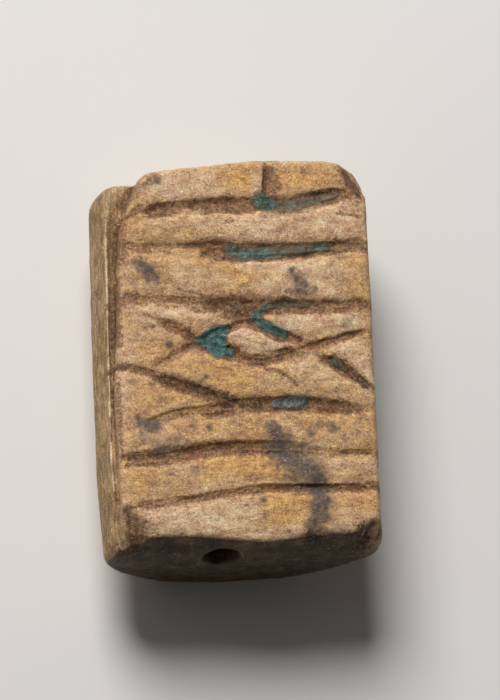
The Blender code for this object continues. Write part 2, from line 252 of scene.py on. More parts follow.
def surveyed(thing, depths):  # what the wear and the paint need to know about each vertex
    places = readVectors(thing.data, "co")
    normals = readVectors(thing.data, "normal")
    x, y, z = places.T
    edge, blend = faceMap["edge"], faceMap["edgeBlend"]
    onSlab = (depths < edge).astype(float)
    carving = np.where(depths < edge, depths, 0)
    cuts = blurredMap(carving, faceMap["cutBlur"])
    nearSlab = readMap(blurredMap(onSlab, faceMap["rimBlur"]), x, y)
    steepAcross, steepAlong = np.gradient(cuts, faceMap["step"])
    # walls of the cuts that face away from the lamp, for the painted shade
    shaded = steepAcross * lampSide[0] - steepAlong * lampSide[1]
    aboveEdge = softStep(z, faceLevel - edge - blend, faceLevel - edge + blend)
    ledgeLow, ledgeHigh = stone["ledgeDepth"]
    aboveLedge = softStep(z, faceLevel - ledgeLow, faceLevel - ledgeHigh)
    upOrLeft = np.maximum(normals[:, 2], -normals[:, 0])
    smooth = averaged(thing.data, places, stone["smoothRounds"])
    return SimpleNamespace(
        places=places,
        normals=normals,
        ragged=noiseAt(places, *stone["raggedNoise"]),
        uneven=noiseAt(places, *stone["unevenNoise"]),
        broad=noiseAt(places, *stone["broadNoise"]),
        face=aboveEdge * softStep(readMap(onSlab, x, y), *faceMap["faceShares"]),
        aboveLedge=aboveLedge,
        top=aboveLedge * softStep(upOrLeft, *stone["facing"]),
        nearSlab=nearSlab,
        inRim=softStep(nearSlab, *faceMap["rimShares"]) * aboveEdge,
        cut=readMap(cuts, x, y),
        shadedWall=readMap(shaded, x, y),
        walls=blurredMap(carving, faceMap["wallBlur"]),
        smooth=smooth,
        softest=averaged(thing.data, smooth, stone["softestRounds"]),
        bulge=((places - smooth) * normals).sum(axis=1),
        pits=pitDepths(places),
        faded=paintedAreas(places, fadedCuts, 0.0, wear["fadeSoftness"]),
    )


# The wear: how the surface waves, and how far its edges, cut lines and corners are worn

wear = {
    "relief": [  # waves, then streaks: size, height and seed, and where they show
        (3.1, 0.04, 4.1, "all"),
        (1.2, 0.024, 2.2, "all"),
        (0.45, 0.014, 1.45, "all"),
        (0.2, 0.008, 1.2, "all"),
        ((1.2, 0.3, 1.0), 0.008, 2, "face"),
        ((0.2, 2.6, 0.2), 0.012, 5, "sides"),
        ((0.1, 1.2, 0.1), 0.008, 5, "sides"),
    ],
    "edges": 0.55,
    "edgeBulge": 0.035,  # what stands out this far is an edge
    "edgeShares": (0.55, 0.45),  # even and uneven
    "softWalls": 0.8,
    "fadeSoftness": 0.6,
    "cutShares": (0.64, 0.35),
    "lowerWall": (0.22, 0.15),  # how far the cuts' lower walls lie back, and how unevenly
    "lowerShares": (0.58, 0.2),
    "hollowEdge": (0.45, 0.3),  # how soft, and how uneven
    "lipStarts": (0.01, 0.05),  # depths where the lip of a cut starts, and ends
    "lipEnds": (0.05, 0.16),
    "chipDepth": 0.012,
    "chipNoise": (0.3, 6),  # size and seed
    "chipEdge": (0.0, 0.45),
    "flatDepths": (0.02, 0.12),
    "swellEdge": (-0.9, 0.8),
    "glazeFill": 0.05,
    "glazeSoftens": 0.5,
    "glazeRagged": 0.3,
    "glazeEdge": 0.5,
    "cornerEdge": (0.0, 0.6),
    "cornerSwell": 0.11,
    "cornerHeights": (3.0, 4.2),  # the back's corners below the first are left as they are
}

# Corners that are worn round: x, y and reach, and how much
softCorners = [
    ((-5.75, 7.7), 1.7, 1.0),
    ((-5.9, -8.3), 1.8, 1.0),
    ((5.45, -8.35), 0.9, 0.8),
    ((5.7, 8.1), 1.05, 1.0),
    ((-5.1, -7.6), 0.95, 0.8),
    ((1.36, 8.78), 0.75, 0.6),
]

# Shallow hollows that the wear left on the face: route of x, y and half width, and depth
hollows = [
    ([(-1.35, 0.45, 0.42), (-1.05, 0.45, 0.3)], 0.18),
    ([(-0.2, -0.18, 0.16), (0.3, -0.36, 0.24), (0.9, -0.38, 0.26), (1.5, -0.2, 0.24),
      (1.9, 0.0, 0.12)], 0.09),
    ([(-0.35, 1.95, 0.45), (0.75, 1.9, 0.45)], 0.16),
    ([(0.75, 1.9, 0.3), (0.6, 1.45, 0.22)], 0.16),
    ([(-1.25, 4.72, 0.34), (-0.7, 4.66, 0.42)], 0.1),
    ([(-3.97, -0.59, 0.16), (-3.44, -0.28, 0.24), (-2.98, 0.04, 0.26), (-2.37, 0.47, 0.26)], 0.045),
    ([(-2.55, 0.85, 0.24), (-2.25, 0.55, 0.24)], 0.12),
    ([(-5.45, -7.4, 0.5), (-5.2, -8.4, 0.6)], 0.1),
    ([(-5.7, -0.62, 0.15), (-4.4, -0.92, 0.2), (-3.6, -1.15, 0.22)], 0.1),
    ([(1.66, 8.75, 0.13), (1.61, 7.9, 0.16), (1.52, 7.3, 0.18)], 0.18),
    ([(4.1, -4.6, 0.12), (5.5, -4.64, 0.11)], 0.09),
    ([(-4.35, -3.08, 0.1), (-3.23, -2.75, 0.16), (-1.6, -2.58, 0.18)], 0.09),
    ([(2.75, 0.14, 0.12), (3.37, 0.26, 0.18), (4.42, 0.56, 0.18), (5.4, 0.84, 0.14)], 0.11),
    ([(-3.3, -6.74, 0.13), (-1.74, -6.55, 0.14), (-0.7, -6.37, 0.14), (0.3, -6.27, 0.13)], 0.09),
    ([(0.3, -6.27, 0.13), (3.0, -6.27, 0.15), (5.85, -6.27, 0.15)], 0.11),
    ([(5.2, 7.6, 0.5), (5.7, 7.0, 0.3)], 0.08),
    ([(4.5, 7.34, 0.14), (5.1, 7.34, 0.14)], 0.12),
    ([(-4.3, 6.45, 0.24), (-4.95, 6.1, 0.16)], 0.1),
    ([(-5.6, 4.72, 0.16), (-4.6, 4.8, 0.2)], 0.08),
    ([(5.1, 4.9, 0.24), (5.8, 4.95, 0.2)], 0.1),
    ([(-5.7, 2.4, 0.18), (-4.9, 2.45, 0.24)], 0.08),
    ([(5.0, 2.12, 0.24), (5.8, 2.05, 0.2)], 0.1),
    ([(4.6, -0.95, 0.2), (5.45, -1.62, 0.15)], 0.14),
    ([(4.8, -2.6, 0.2), (5.5, -2.75, 0.12)], 0.07),
    ([(5.1, -6.2, 0.22), (5.9, -6.2, 0.16)], 0.09),
]

# Where the cut lines are worn almost away: route, and how much of the depth is lost
fadedCuts = [
    ([(-1.5, 1.3, 0.25), (-0.9, 1.52, 0.3), (0.4, 1.8, 0.28)], 0.8),
    ([(-2.05, 0.84, 0.22), (-1.17, 1.28, 0.24), (-0.54, 1.42, 0.2)], 0.65),
    ([(1.2, -4.15, 0.45), (5.6, -4.45, 0.4)], 0.65),
    ([(-4.6, -2.75, 0.26), (-3.3, -2.5, 0.26), (-1.6, -2.26, 0.22)], 0.9),
    ([(-4.2, -0.62, 0.3), (-3.4, -0.05, 0.34), (-2.5, 0.62, 0.26)], 1.0),
    ([(-5.4, 4.85, 0.5), (-2.6, 4.9, 0.5)], 0.35),
    ([(2.4, 4.85, 0.4), (5.6, 4.95, 0.4)], 0.2),
    ([(-2.6, 6.95, 0.4), (3.4, 7.05, 0.4)], 0.2),
    ([(1.15, 6.32, 0.15), (2.5, 6.4, 0.15), (3.4, 6.6, 0.15), (3.9, 6.74, 0.12)], 0.85),
    ([(-4.2, 2.12, 0.2), (-1.7, 2.08, 0.2)], 0.45),
    ([(-2.9, 6.36, 0.1), (-1.9, 6.42, 0.13), (-1.1, 6.44, 0.09)], 0.35),
    ([(-5.6, 2.55, 0.45), (-2.1, 2.6, 0.42), (-1.2, 2.5, 0.36)], 0.6),
    ([(-2.7, 4.55, 0.18), (-1.75, 4.48, 0.2)], 0.8),
    ([(-0.8, 0.55, 0.2), (-0.2, 0.6, 0.26)], 0.95),
    ([(0.1, 0.02, 0.22), (0.84, -0.08, 0.22), (1.61, 0.1, 0.22), (2.3, 0.22, 0.22)], 1.0),
    ([(2.25, 0.2, 0.2), (2.95, 0.06, 0.22), (3.55, -0.08, 0.2), (3.85, -0.14, 0.16)], 0.95),
    ([(-1.95, -2.6, 0.16), (-1.25, -2.62, 0.15)], 0.6),
    ([(2.9, 0.5, 0.2), (3.6, 0.68, 0.22), (4.7, 1.0, 0.22), (5.7, 1.25, 0.2)], 0.95),
    ([(-5.6, -4.6, 0.35), (-3.0, -4.2, 0.35)], 0.25),
    ([(-1.0, -4.02, 0.35), (1.0, -4.05, 0.35)], 0.22),
    ([(-5.0, -6.85, 0.4), (-2.4, -6.5, 0.4)], 0.4),
    ([(0.4, -5.92, 0.16), (5.9, -5.88, 0.16)], 0.9),
    ([(0.4, -6.2, 0.2), (5.9, -6.2, 0.2)], 0.35),
    ([(2.6, 2.3, 0.4), (5.6, 2.2, 0.4)], 0.25),
    ([(-4.8, 1.95, 0.34), (-4.0, 1.66, 0.32), (-3.55, 1.44, 0.28)], 1.0),
    ([(-4.0, 1.7, 0.28), (-2.6, 1.15, 0.26)], 0.6),
    ([(-3.2, -6.45, 0.15), (-1.8, -6.22, 0.15), (-0.5, -6.02, 0.15), (0.4, -5.95, 0.15)], 0.85),
    ([(-2.4, -6.45, 0.45), (-0.4, -6.2, 0.45)], 0.4),
    ([(1.34, 8.9, 0.3), (1.32, 7.75, 0.24)], 0.95),
]

# Soft swellings of the face between the cut lines
swellings = [
    ([(-0.1, 0.72, 0.5), (1.7, 0.4, 0.45)], 0.07),
    ([(2.2, 1.35, 0.35), (4.7, 1.3, 0.4)], 0.05),
    ([(-4.4, 1.55, 0.35), (-1.8, 1.75, 0.25)], 0.05),
    ([(-4.6, 5.75, 0.55), (-1.0, 5.9, 0.7), (4.8, 5.75, 0.7)], 0.08),
    ([(-4.8, 3.6, 0.6), (4.9, 3.35, 0.75)], 0.08),
    ([(-4.6, -7.4, 0.6), (4.6, -7.25, 0.7)], 0.07),
    ([(-4.8, -5.95, 0.6), (4.8, -5.35, 0.5)], 0.07),
    ([(-4.4, -3.9, 0.5), (4.6, -3.55, 0.6)], 0.06),
    ([(-2.4, -0.95, 0.5), (4.2, -1.4, 0.45)], 0.05),
]

# What is left of the glaze: route, and tone from dull grey-green (0) over teal (0.5) to slate blue (1)
glazeLeft = [
    ([(1.32, 6.92, 0.4), (1.66, 6.76, 0.34)], 0.4),
    ([(1.9, 6.68, 0.25), (2.46, 6.64, 0.28), (3.23, 6.79, 0.25), (4.2, 7.04, 0.19),
      (4.75, 7.18, 0.1)], 0.06),
    ([(-0.16, 4.56, 0.34), (0.5, 4.5, 0.29)], 0.3),
    ([(0.5, 4.5, 0.29), (1.1, 4.5, 0.27), (1.5, 4.52, 0.26)], 0.4),
    ([(1.5, 4.52, 0.24), (2.2, 4.55, 0.23), (3.55, 4.7, 0.2)], 0.14),
    ([(3.6, 4.74, 0.24), (4.05, 4.78, 0.2)], 0.34),
    ([(1.05, 2.05, 0.15), (1.95, 2.28, 0.22), (2.5, 2.18, 0.18), (3.05, 2.1, 0.1)], 0.03),
    ([(1.15, 2.05, 0.15), (0.62, 1.66, 0.17)], 0.3),
    ([(0.62, 1.66, 0.17), (0.9, 1.28, 0.2), (1.45, 0.98, 0.18), (1.92, 0.8, 0.12)], 0.5),
    ([(-1.75, 0.56, 0.24), (-1.5, 0.6, 0.34), (-1.05, 0.86, 0.34), (-0.6, 1.12, 0.14)], 0.56),
    ([(-1.98, 0.52, 0.2), (-1.72, 0.58, 0.26)], 0.28),
    ([(-1.5, 0.45, 0.34), (-1.05, 0.15, 0.38), (-0.55, -0.03, 0.18)], 0.56),
    ([(-1.5, 0.5, 0.3), (-0.95, 0.5, 0.22)], 0.52),
    ([(3.8, -0.38, 0.15), (4.15, -0.55, 0.2), (4.5, -0.8, 0.11)], 0.0),
    ([(1.3, -2.34, 0.18), (1.9, -2.32, 0.27), (2.5, -2.24, 0.2)], 0.95),
]


def wornDepth(survey):  # how deep the worn face lies below its old level
    places, uneven, cut = survey.places, survey.uneven, survey.cut
    x, y = places[:, 0], places[:, 1]
    cutShare, cutUneven = wear["cutShares"]
    lowerWall, wallUneven = wear["lowerWall"]
    lowerShare, lowerUneven = wear["lowerShares"]
    lower = readMap(survey.walls, x, y + lowerWall * (1 + wallUneven * uneven))
    depth = cut * cutShare * (1 + cutUneven * uneven)
    depth = np.maximum(depth, lower * (lowerShare + lowerUneven * uneven))
    depth *= 1 - survey.faded
    softness, raggedness = wear["hollowEdge"]
    for route, hollow in hollows:
        inside = softStep(routeReach(places, route) + raggedness * uneven, -softness, softness)
        depth = np.maximum(depth, hollow * inside)
    lip = softStep(readMap(survey.walls, x, y), *wear["lipStarts"])
    lip *= 1 - softStep(cut, *wear["lipEnds"])
    chips = softStep(noiseAt(places, *wear["chipNoise"]), *wear["chipEdge"])
    depth += wear["chipDepth"] * lip * chips
    flat = 1 - softStep(depth, *wear["flatDepths"])
    for route, height in swellings:
        depth -= height * flat * softStep(routeReach(places, route), *wear["swellEdge"])
    return depth


def worn(thing, survey):
    places, normals, face = survey.places, survey.normals, survey.face
    move = -survey.pits
    shown = {"all": 1.0, "face": face, "sides": 1 - face}
    for size, height, seed, where in wear["relief"]:
        move += height * noiseAt(places, size, seed) * shown[where]
    even, uneven = wear["edgeShares"]
    edgeWear = wear["edges"] * np.clip(survey.bulge / wear["edgeBulge"], 0, 1)
    edgeWear *= even + uneven * survey.uneven
    wholeGlaze = [(route, 1.0) for route, tone in glazeLeft]
    glazed = paintedAreas(places, wholeGlaze, wear["glazeRagged"] * survey.ragged, wear["glazeEdge"])
    softened = np.maximum(edgeWear, wear["glazeSoftens"] * glazed)
    moved = places + (survey.smooth - places) * softened[:, None]
    rounded = np.zeros(len(places))
    for corner, reach, strength in softCorners:
        away = np.hypot(*(places[:, :2] - corner).T) / reach
        near = softStep(1 - away, *wear["cornerEdge"]) * strength
        near *= softStep(places[:, 2], *wear["cornerHeights"])
        moved += (survey.softest - moved) * near[:, None]
        move += wear["cornerSwell"] * near
        rounded = np.maximum(rounded, near)
    moved += normals * move[:, None]
    own = np.clip(faceLevel - places[:, 2], 0, faceMap["edge"])
    soft = np.maximum(wear["softWalls"], survey.faded)
    before = survey.cut + soft * (own - survey.cut)
    deeper = (survey.depth - before) * (1 - rounded)
    moved[:, 2] += wear["glazeFill"] * glazed * face - deeper * survey.inRim
    moved[:, 2] = np.maximum(moved[:, 2], 0)  # it lies on the floor, not in it
    survey.rounded = rounded
    thing.data.vertices.foreach_set("co", moved.ravel())
    thing.data.update()


# Paint: each finish, painted shade and highlight among them, is a value from 0 to 1 on the vertices,
# which the material reads by name

stringHole = {"across": -1.25, "height": 3.9, "paintedShade": (0.72, 1.22)}  # painted shade from its edge outwards

# Purple-grey stains: route and strength
stains = [
    ([(-4.3, 3.95, 0.38), (-3.8, 3.4, 0.36)], 0.95),
    ([(2.42, 3.62, 0.24), (2.66, 3.17, 0.33), (2.78, 2.75, 0.4)], 0.8),
    ([(2.3, 2.7, 0.22), (3.3, 2.76, 0.24)], 0.6),
    ([(-3.34, 7.83, 0.24)], 0.75),
    ([(-0.46, 8.1, 0.24)], 0.4),
    ([(3.33, 8.25, 0.22)], 0.4),
    ([(-4.72, -3.12, 0.3), (-4.32, -3.31, 0.36)], 1.0),
    ([(-4.65, -3.8, 0.32)], 0.6),
    ([(-4.09, -4.26, 0.4), (-3.18, -4.07, 0.4)], 0.5),
    ([(-2.55, -3.43, 0.18)], 0.65),
    ([(-1.81, -3.43, 0.16)], 0.8),
    ([(0.94, -3.43, 0.3), (1.41, -4.18, 0.52)], 0.9),
    ([(1.28, -4.55, 0.64), (1.9, -5.0, 0.84), (2.4, -5.5, 0.78), (2.86, -6.1, 0.5)], 0.95),
    ([(2.9, -6.08, 0.48), (2.92, -6.76, 0.46), (2.74, -7.67, 0.42), (2.42, -8.12, 0.4)], 0.95),
    ([(0.93, -4.79, 0.32), (1.19, -5.24, 0.38)], 0.45),
    ([(2.7, -3.73, 0.22)], 0.6),
    ([(3.75, -3.54, 0.26)], 0.8),
    ([(3.18, -3.27, 0.18)], 0.45),
    ([(-1.32, -2.74, 0.26)], 0.55),
    ([(-2.45, -5.32, 0.38)], 0.4),
    ([(0.35, -6.76, 0.16)], 0.9),
    ([(-3.31, 0.36, 0.18)], 0.85),
    ([(4.74, 1.27, 0.3)], 0.6),
    ([(-3.96, 1.16, 0.11)], 0.75),
    ([(-4.24, -1.42, 0.13)], 0.85),
    ([(-1.77, -1.15, 0.16)], 0.75),
]

# Ochre and pale areas of the stone, and a strip of painted light along the lower edge of the face
ochreAreas = [
    ([(-0.6, 7.9, 0.55), (0.45, 7.9, 0.75)], 1.0),
    ([(1.9, 8.05, 0.55), (3.9, 7.95, 0.65)], 0.8),
    ([(-0.4, 3.3, 0.45), (1.5, 3.2, 0.45)], 0.65),
    ([(-1.1, -0.9, 0.75), (0.7, -1.7, 0.65)], 0.85),
    ([(-3.4, -1.8, 0.45), (-1.9, -2.35, 0.35)], 0.6),
    ([(-1.7, -4.9, 0.65), (0.5, -4.9, 0.8)], 1.0),
    ([(0.8, -6.7, 0.5), (2.0, -6.6, 0.5)], 1.0),
    ([(0.9, -7.6, 0.5), (1.8, -7.6, 0.5)], 0.8),
    ([(3.6, -7.3, 0.45), (4.8, -7.0, 0.55)], 0.5),
    ([(-4.6, -1.8, 0.7), (-4.4, -2.6, 0.5)], 0.45),
    ([(-4.6, 5.6, 0.8), (-3.4, 3.9, 0.6)], 0.3),
]
paleAreas = [
    ([(-3.5, 7.55, 0.5), (-1.2, 7.75, 0.75)], 1.0),
    ([(1.1, 7.4, 0.22), (1.25, 8.2, 0.18)], 0.8),
    ([(-1.2, 5.9, 0.55), (2.0, 5.75, 0.8), (5.5, 5.9, 0.8)], 0.75),
    ([(0.3, 3.98, 0.32), (3.2, 3.85, 0.36), (4.4, 4.0, 0.3)], 0.95),
    ([(0.8, 5.35, 0.32), (2.8, 5.45, 0.32)], 1.0),
    ([(-2.6, 3.5, 0.45), (-0.6, 3.2, 0.35)], 0.55),
    ([(3.6, -5.3, 0.35), (5.5, -5.2, 0.4)], 0.6),
    ([(1.2, 2.95, 0.45), (4.2, 3.05, 0.55)], 0.75),
    ([(1.85, 1.35, 0.38), (4.9, 1.3, 0.42)], 1.0),
    ([(-0.1, 0.72, 0.42), (1.5, 0.4, 0.5)], 1.0),
    ([(4.5, 0.0, 0.42), (5.6, -0.5, 0.55), (5.5, -1.5, 0.5)], 0.85),
    ([(2.5, -0.7, 0.5), (3.9, -1.15, 0.45)], 0.75),
    ([(-4.3, -7.6, 0.65), (-0.5, -7.5, 0.8)], 1.0),
    ([(-4.6, 1.6, 0.35), (-2.2, 1.85, 0.28), (-0.9, 1.72, 0.2)], 0.75),
    ([(-5.2, 3.2, 0.3), (-5.45, -3.0, 0.35)], 0.25),
    ([(3.3, -8.15, 0.3), (4.6, -7.95, 0.35)], 0.8),
    # painted light along the lower edge of the face, where its rounding turns away from the lamp
    ([(-4.5, -8.2, 0.24), (2.2, -8.2, 0.24)], 0.8),
    ([(-4.8, 3.0, 0.24), (-1.5, 2.92, 0.24)], 0.5),
    ([(-4.4, 0.85, 0.4), (-3.2, 0.95, 0.3)], 0.55),
    ([(0.7, -1.5, 0.35), (1.8, -1.35, 0.3)], 0.5),
    ([(3.9, -1.6, 0.28), (4.6, -1.6, 0.28)], 0.5),
]

# Brown bands where a cut line runs out, or where the wear joined two of them, and painted shade along
# the left edge of the face, where the lamp lights its rounding
brownBands = [
    ([(-4.2, 6.55, 0.24), (-5.0, 6.05, 0.18)], 0.7),
    ([(-4.75, 7.05, 0.3), (-3.45, 7.98, 0.26)], 0.65),
    ([(4.6, 6.27, 0.06), (5.65, 6.16, 0.09)], 0.75),
    ([(1.85, 8.4, 0.14), (1.92, 7.95, 0.2), (1.95, 7.62, 0.26), (1.85, 7.35, 0.2)], 0.8),
    ([(4.3, 7.18, 0.22), (5.2, 7.2, 0.24)], 0.85),
    ([(-5.5, 4.66, 0.18), (-3.9, 4.72, 0.2)], 0.6),
    ([(4.2, 4.78, 0.25), (5.75, 4.76, 0.26)], 0.9),
    # painted shade along the left edge of the face
    ([(-5.06, 6.0, 0.28), (-5.14, 4.2, 0.28)], 0.8),
    ([(-3.5, 6.8, 0.06), (-2.6, 6.88, 0.07), (-1.6, 6.96, 0.07), (-0.2, 7.1, 0.07)], 0.75),
    ([(2.6, 7.05, 0.05), (3.0, 7.2, 0.07), (3.6, 7.3, 0.07), (4.0, 7.36, 0.05)], 0.75),
    ([(-2.75, 2.86, 0.05), (-2.2, 2.72, 0.06), (-1.55, 2.56, 0.07)], 0.6),
    ([(-2.7, 1.22, 0.07), (-2.4, 1.08, 0.09), (-2.05, 0.92, 0.09)], 0.75),
    ([(-5.6, 2.38, 0.22), (-4.6, 2.42, 0.24)], 0.85),
    ([(-4.6, 2.42, 0.2), (-2.0, 2.36, 0.2), (-1.2, 2.3, 0.26)], 0.65),
    ([(-1.2, 2.3, 0.28), (-0.5, 2.15, 0.42), (0.6, 1.9, 0.48)], 0.9),
    ([(2.0, 2.02, 0.28), (4.2, 1.98, 0.28), (5.7, 2.02, 0.24)], 0.95),
    # painted shade along the left edge of the face
    ([(-5.36, 3.4, 0.14), (-5.5, 0.3, 0.14)], 0.7),
    ([(-0.75, 1.7, 0.2), (-0.1, 1.75, 0.42), (0.55, 1.7, 0.4)], 0.95),
    ([(-4.0, -1.15, 0.2), (-3.0, -1.52, 0.26), (-1.8, -1.92, 0.28), (-0.9, -2.25, 0.26)], 1.0),
    ([(-4.3, 1.75, 0.09), (-3.6, 1.45, 0.14), (-3.2, 1.3, 0.16)], 0.55),
    ([(-3.35, 1.36, 0.12), (-2.98, 1.2, 0.17), (-2.34, 0.75, 0.26)], 0.78),
    ([(-2.4, 0.75, 0.26), (-2.2, 0.5, 0.24)], 1.0),
    ([(-3.97, -0.59, 0.08), (-3.44, -0.26, 0.12), (-2.98, 0.06, 0.14), (-2.37, 0.47, 0.2)], 0.72),
    ([(-5.8, -0.62, 0.16), (-5.2, -0.68, 0.18), (-4.4, -0.92, 0.16), (-3.8, -1.15, 0.16)], 0.95),
    ([(0.95, -0.8, 0.13), (1.45, -0.92, 0.1), (1.95, -1.2, 0.1), (2.22, -1.55, 0.08)], 0.95),
    ([(-0.5, -0.12, 0.14), (0.3, -0.38, 0.19), (0.9, -0.41, 0.21), (1.5, -0.2, 0.17),
      (2.1, 0.06, 0.12)], 1.0),
    ([(-0.2, -0.44, 0.14), (0.7, -0.62, 0.14)], 0.7),
    ([(2.45, 0.16, 0.12), (2.9, 0.22, 0.14), (3.4, 0.34, 0.16), (4.42, 0.62, 0.15),
      (5.3, 0.86, 0.09)], 0.85),
    ([(1.95, 0.62, 0.13), (2.4, 0.36, 0.14), (2.7, 0.2, 0.14)], 0.8),
    ([(1.9, 0.22, 0.16), (2.9, 0.1, 0.18), (3.5, -0.1, 0.13)], 0.4),
    ([(3.55, -0.18, 0.09), (4.2, -0.57, 0.19), (5.0, -1.25, 0.22), (5.6, -1.72, 0.16)], 1.0),
    ([(-4.3, -3.14, 0.14), (-2.6, -2.72, 0.18), (-0.8, -2.48, 0.24)], 0.6),
    ([(-0.8, -2.5, 0.22), (0.9, -2.36, 0.28), (3.5, -2.54, 0.32), (4.95, -2.7, 0.2)], 1.0),
    ([(-5.6, -4.62, 0.12), (-3.6, -4.45, 0.2), (-1.6, -4.24, 0.18), (1.6, -4.28, 0.14)], 0.7),
    ([(1.4, -4.2, 0.16), (3.6, -4.52, 0.12)], 0.5),
    ([(3.8, -4.65, 0.13), (5.75, -4.7, 0.13)], 0.85),
    # painted shade along the left edge of the face
    ([(-5.66, -1.4, 0.12), (-5.72, -4.8, 0.1)], 0.6),
    ([(-5.92, -5.95, 0.06), (-5.96, -7.2, 0.07)], 0.8),
    ([(-5.0, -6.98, 0.14), (-3.0, -6.68, 0.17), (-0.6, -6.38, 0.15), (0.4, -6.27, 0.14)], 0.75),
    ([(0.4, -6.23, 0.14), (3.0, -6.22, 0.16), (5.75, -6.24, 0.2)], 0.85),
    ([(-5.6, -7.1, 0.24), (-5.3, -8.2, 0.38)], 0.8),
    ([(-5.5, -7.2, 0.22), (-5.1, -7.6, 0.2), (-4.98, -7.95, 0.14)], 0.8),
]

# Rust brown and dark dirt beside the cut lines, and a painted shadow in the lower right chip
rustAreas = [
    ([(1.9, 7.75, 0.28), (2.0, 7.3, 0.26)], 1.0),
    ([(-1.15, 4.8, 0.42), (-0.65, 4.75, 0.42)], 0.8),
    ([(-1.0, 2.05, 0.5), (0.8, 1.95, 0.5)], 0.75),
    ([(-3.4, -1.15, 0.3), (-1.2, -2.25, 0.3)], 0.6),
    ([(-3.95, -0.58, 0.14), (-2.6, 0.3, 0.24), (-2.1, 0.3, 0.4)], 0.85),
    ([(-3.6, 1.42, 0.18), (-2.5, 0.85, 0.3)], 0.8),
    ([(-5.2, -7.2, 0.34), (-5.05, -7.8, 0.3)], 0.35),
    ([(2.2, 0.2, 0.25), (3.2, 0.35, 0.25)], 0.6),
    ([(5.5, 6.4, 0.25), (5.6, 4.8, 0.2)], 0.4),
    ([(-4.9, 6.3, 0.3), (-5.3, 6.9, 0.35)], 0.6),
    ([(5.2, 8.15, 0.3), (5.75, 7.4, 0.3)], 0.7),
]
dirtAndShadowAreas = [
    ([(1.62, 8.75, 0.07), (1.58, 7.95, 0.1), (1.5, 7.4, 0.13)], 0.65),
    ([(-5.6, -7.05, 0.16), (-5.48, -7.9, 0.24), (-5.35, -8.5, 0.2)], 0.45),
    ([(-5.7, -7.08, 0.06), (-4.6, -6.8, 0.06)], 0.6),
    ([(-4.85, -7.6, 0.12), (-4.8, -8.0, 0.12)], 0.45),
    # the lower right chip: painted shadow where it faces away from the lamp
    ([(4.62, -8.08, 0.36), (4.86, -8.35, 0.34)], 1.0),
    ([(5.1, 8.2, 0.42), (5.85, 7.3, 0.42)], 0.5),
    ([(4.05, -4.6, 0.08), (5.3, -4.64, 0.08)], 0.8),
    ([(2.3, -8.4, 0.26), (4.6, -8.25, 0.18)], 0.5),
    ([(-1.42, 4.25, 0.09), (-1.38, 4.6, 0.1)], 0.55),
    ([(-2.2, -4.4, 0.12), (-0.9, -4.36, 0.11)], 0.65),
    ([(-1.95, 0.9, 0.08), (-1.26, 1.13, 0.08), (-0.58, 1.27, 0.07)], 0.35),
    ([(-2.35, 0.78, 0.22), (-2.1, 0.55, 0.2)], 0.65),
    ([(-5.8, -0.66, 0.12), (-5.3, -0.7, 0.12)], 0.6),
    ([(-3.9, -1.14, 0.12), (-3.07, -1.42, 0.18), (-1.8, -1.8, 0.2), (-0.6, -2.12, 0.18)], 0.85),
    ([(-1.1, 2.2, 0.16), (-0.5, 2.1, 0.3), (0.6, 1.8, 0.42)], 0.6),
    ([(-4.7, 6.2, 0.12), (-4.0, 6.5, 0.18), (-2.0, 6.7, 0.2), (0.9, 6.8, 0.2)], 0.3),
    ([(3.3, 7.18, 0.1), (4.4, 7.36, 0.11), (5.05, 7.36, 0.12)], 0.75),
    ([(1.0, 4.88, 0.1), (3.4, 4.92, 0.1), (5.4, 4.98, 0.12)], 0.35),
    ([(2.0, 2.3, 0.12), (5.6, 2.22, 0.12)], 0.35),
    ([(-0.8, -2.46, 0.14), (0.9, -2.34, 0.18), (3.5, -2.44, 0.2), (4.9, -2.64, 0.14)], 0.6),
    ([(3.2, -6.22, 0.1), (5.8, -6.22, 0.12)], 0.45),
    ([(-0.3, -0.2, 0.1), (0.3, -0.36, 0.13), (0.9, -0.38, 0.13), (1.7, -0.12, 0.09)], 0.5),
    ([(3.8, -0.32, 0.08), (4.15, -0.46, 0.13), (4.6, -0.9, 0.18), (5.02, -1.28, 0.18),
      (5.42, -1.6, 0.12)], 0.8),
    ([(-0.55, 4.25, 0.1), (-0.52, 4.75, 0.12)], 0.95),
    ([(-1.1, -2.42, 0.14), (0.6, -2.36, 0.15)], 1.0),
    ([(-0.9, -4.3, 0.08), (0.5, -4.3, 0.09), (1.8, -4.36, 0.07)], 0.6),
    ([(-4.75, 2.22, 0.1), (-4.4, 2.2, 0.1)], 0.45),
]

# Painted areas: how ragged their edges are, by which noise, how soft, and where on the bead they show
areasPainted = {
    "stain": (stains, 0.4, "ragged", 1.05, "face"),
    "ochre": (ochreAreas, 0.5, "broad", 0.9, "face"),
    "pale": (paleAreas, 0.5, "broad", 0.9, "face"),
    "rust": (rustAreas, 0.6, "ragged", 0.9, "top"),
    "bands": (brownBands, 0.45, "ragged", 0.8, "top"),
    "dirtAndShadow": (dirtAndShadowAreas, 0.6, "ragged", 0.8, "top"),
}

# The other paints: a pair says where a paint starts and where it is full
paints = {
    "glaze": (-0.5, 0.6),
    "glazeRagged": 0.26,
    "glazeShares": (0.7, 0.8),  # even, and with the tone, as dull glaze is thin
    "grooveDirt": 0.62,
    "grooveHollow": (0.004, -0.034),
    "grooveRim": (0.0, 0.3),
    "grooveWorn": 0.6,  # less dirt where a corner is worn round
    "grooveLower": (2.2, 3.6),
    "grooveClean": 0.85,  # cleaner towards the lower end
    "carved": (0.015, 0.17),
    "shadedWall": (0.25, 1.1),
    "pitFull": 0.05,
    "pitDirt": 0.7,
    "rubbed": (0.002, 0.03),
    "ridge": (0.026, 0.05),
    # painted shade on the lower end, which faces away from the lamp
    "lowerEnd": (0.62, 0.88),
    "lowerEndReach": 1.2,
    "litAcross": (4.8, 5.3),  # the corner of the lower end that is lit, where less shade is painted
    "litHeight": (4.3, 5.0),
    "litUnshaded": 0.85,
}


